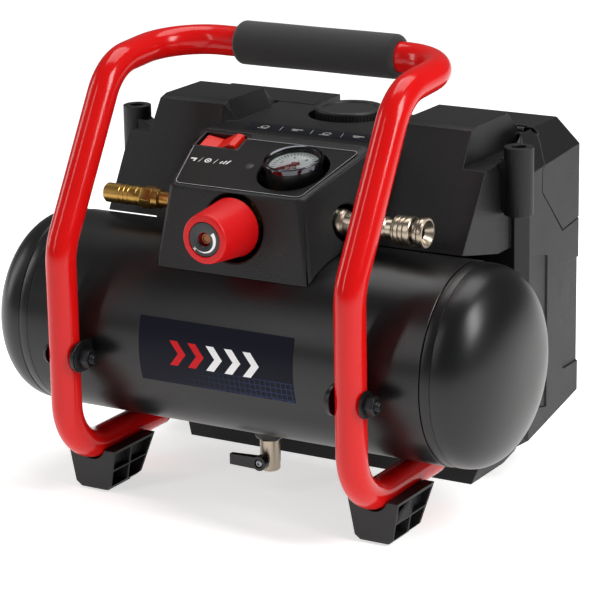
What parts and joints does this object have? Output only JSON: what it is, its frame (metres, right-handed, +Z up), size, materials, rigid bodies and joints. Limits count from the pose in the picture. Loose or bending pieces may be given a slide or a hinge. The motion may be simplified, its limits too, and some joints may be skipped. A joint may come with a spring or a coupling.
{
  "type": "air compressor",
  "caption": "Portable battery air compressor: black horizontal tank in a red bent-tube carry frame, front control console with gauge and knob, piston pump and battery case behind.",
  "frame": {"origin": "on the floor under the middle of the machine's bounding box", "axes": "+Z up, -Y the front with the control console, +X along the tank towards the quick coupling"},
  "size_m": [0.412, 0.281, 0.332],
  "materials": {
    "red_paint": "gloss powder coat",
    "tank_paint": "semi-gloss powder coat",
    "black_plastic": "fine spark-eroded grain",
    "grey_plastic": "fine spark-eroded grain",
    "red_plastic": "satin",
    "foam": "closed-cell foam",
    "rubber": "moulded",
    "brass": "turned",
    "nickel": "nickel plated",
    "steel": "zinc plated",
    "dark_steel": "black zinc",
    "aluminium": "cast and machined",
    "bezel_chrome": "polished",
    "dial_face": "printed",
    "lens": "clear",
    "circuit_board": "solder mask"
  },
  "bodies": {
    "machine": {"frame_tube": "red_paint", "tank_barrel": "tank_paint", "tank_dome_left": "tank_paint", "tank_dome_right": "tank_paint", "tank_tab_left": "tank_paint", "tank_tab_right": "tank_paint", "pump_deck": "tank_paint", "console_housing": "black_plastic", "pump_cover": "black_plastic", "switch_frame": "black_plastic", "gauge_case": "black_plastic", "battery_dock": "black_plastic", "battery_pack_left": "black_plastic", "battery_pack_right": "black_plastic", "rear_housing": "grey_plastic", "handle_grip": "foam", "filter_element": "foam", "foot_left": "rubber", "foot_right": "rubber", "foot_pad_left": "rubber", "foot_pad_right": "rubber", "tube_plug_left": "rubber", "tube_plug_right": "rubber", "regulator_body": "brass", "safety_valve_body": "brass", "check_valve": "brass", "coupling_body": "nickel", "drain_valve_body": "nickel", "motor": "steel", "lid_hinge_pin_left": "steel", "lid_hinge_pin_right": "steel", "frame_bolt_left": "dark_steel", "frame_bolt_right": "dark_steel", "frame_nut_left": "dark_steel", "frame_nut_right": "dark_steel", "drain_boss": "dark_steel", "outlet_manifold": "aluminium", "crankcase": "aluminium", "pump_cylinder": "aluminium", "cylinder_head": "aluminium", "discharge_pipe": "aluminium", "gauge_bezel": "bezel_chrome", "gauge_dial": "dial_face", "gauge_lens": "lens", "control_board": "circuit_board"},
    "battery_lid_body": {"battery_lid": "grey_plastic"},
    "regulator_knob_body": {"regulator_knob": "red_plastic", "knob_inset": "grey_plastic"},
    "rocker_switch_body": {"rocker_switch": "red_plastic"},
    "coupling_sleeve_body": {"coupling_sleeve": "nickel"},
    "safety_pin_body": {"safety_valve_pin": "brass"},
    "drain_lever_body": {"drain_lever": "black_plastic", "drain_lever_screw": "steel"},
    "filter_cap_body": {"filter_cap": "grey_plastic"},
    "needle_body": {"gauge_needle": "red_plastic"},
    "crankshaft_body": {"motor_shaft": "steel", "cooling_fan": "black_plastic", "crank_disc": "steel"},
    "piston_body": {"piston": "aluminium"}
  },
  "joints": [
    {"name": "battery_lid_hinge", "type": "hinge", "parent": "machine", "child": "battery_lid_body", "pos_m": [0, 0.099, 0.2538], "axis": [1, 0, 0], "range_deg": [0, 90]},
    {"name": "regulator_knob_turn", "type": "hinge", "parent": "machine", "child": "regulator_knob_body", "pos_m": [0, -0.1, 0.2095], "axis": [0, -1, 0], "range_deg": [-360, 360]},
    {"name": "power_rocker", "type": "hinge", "parent": "machine", "child": "rocker_switch_body", "pos_m": [-0.0455, -0.02511, 0.25007], "axis": [0, 0.9365, 0.3507], "range_deg": [0, 14]},
    {"name": "coupling_sleeve_slide", "type": "slide", "parent": "machine", "child": "coupling_sleeve_body", "axis": [-1, 0, 0], "range_m": [0, 0.004], "stiffness_N_per_m": 1500, "springref_m": -0.003},
    {"name": "safety_pin_pull", "type": "slide", "parent": "machine", "child": "safety_pin_body", "axis": [-1, 0, 0], "range_m": [0, 0.004], "stiffness_N_per_m": 1500, "springref_m": -0.003},
    {"name": "drain_lever_turn", "type": "hinge", "parent": "machine", "child": "drain_lever_body", "pos_m": [0, -0.057, 0.027], "axis": [0, -1, 0], "range_deg": [0, 90]},
    {"name": "filter_cap_twist", "type": "hinge", "parent": "machine", "child": "filter_cap_body", "pos_m": [0, 0.08, 0.255], "axis": [0, 0, 1], "range_deg": [0, 40]},
    {"name": "gauge_needle_turn", "type": "hinge", "parent": "machine", "child": "needle_body", "pos_m": [0.029, -0.052, 0.254], "axis": [0, 0.2079, -0.9781], "range_deg": [0, 270], "stiffness_Nm_per_rad": 0.0002},
    {"name": "crankshaft_turn", "type": "hinge", "parent": "machine", "child": "crankshaft_body", "pos_m": [0, 0.052, 0.212], "axis": [1, 0, 0], "continuous": true},
    {"name": "piston_stroke", "type": "slide", "parent": "machine", "child": "piston_body", "axis": [0, 0, -1], "range_m": [0, 0.012]}
  ]
}
